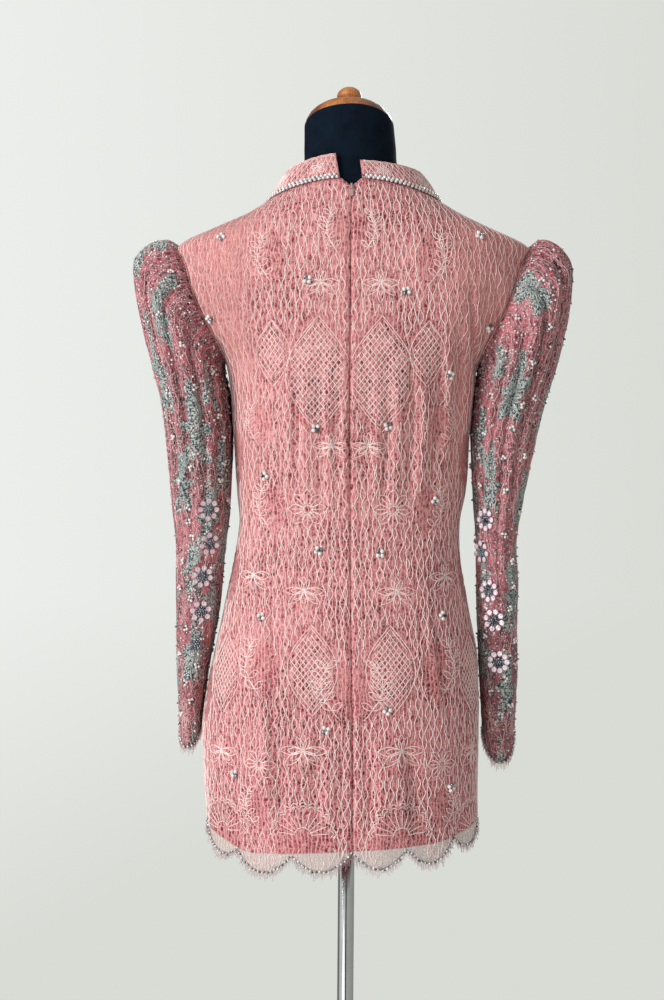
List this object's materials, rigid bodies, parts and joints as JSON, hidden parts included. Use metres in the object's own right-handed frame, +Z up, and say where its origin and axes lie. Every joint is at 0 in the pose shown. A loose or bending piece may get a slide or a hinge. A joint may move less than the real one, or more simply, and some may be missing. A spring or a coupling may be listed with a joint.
{
  "type": "kebaya blouse on dress form",
  "caption": "Long-sleeved lace blouse with puffed sleeve heads, stand collar, back zip and scalloped hem, worn by a limbless dress form on a pole with a round base.",
  "frame": {"origin": "centre of the round base's underside, on the floor and on the pole's axis", "axes": "+Z up along the pole; -Y faces out from the blouse's back, where the zip is, and +Y from its front; +X is the wearer's right"},
  "size_m": [0.4842, 0.34, 1.5603],
  "materials": {
    "rose_lace": "matt corded lace",
    "rose_satin": "satin weave, soft sheen",
    "beaded_edge": "corded and beaded edge with fine lashes",
    "zip_metal": "rose enamel",
    "form_cover": "black jersey",
    "varnished_wood": "varnished",
    "chrome_tube": "bright",
    "base_enamel": "satin enamel"
  },
  "bodies": {
    "form_and_blouse": {"lace_back_left": "rose_lace", "lace_back_right": "rose_lace", "lace_front": "rose_lace", "lining_back_left": "rose_satin", "lining_back_right": "rose_satin", "lining_front": "rose_satin", "sleeve_left": "rose_lace", "sleeve_right": "rose_lace", "collar": "rose_lace", "lash_edge_hem": "beaded_edge", "lash_edge_cuff_left": "beaded_edge", "lash_edge_cuff_right": "beaded_edge", "zip_slider": "zip_metal", "form_body": "form_cover", "form_neck_cap": "varnished_wood", "form_neck_knob": "varnished_wood", "stand_pole": "chrome_tube", "stand_base": "base_enamel"},
    "pull_tab": {"zip_pull": "zip_metal"}
  },
  "joints": [
    {"name": "pull_tab_swing", "type": "hinge", "parent": "form_and_blouse", "child": "pull_tab", "pos_m": [0, -0.07288, 1.4388], "axis": [-1, 0, 0], "range_deg": [0, 150]}
  ]
}
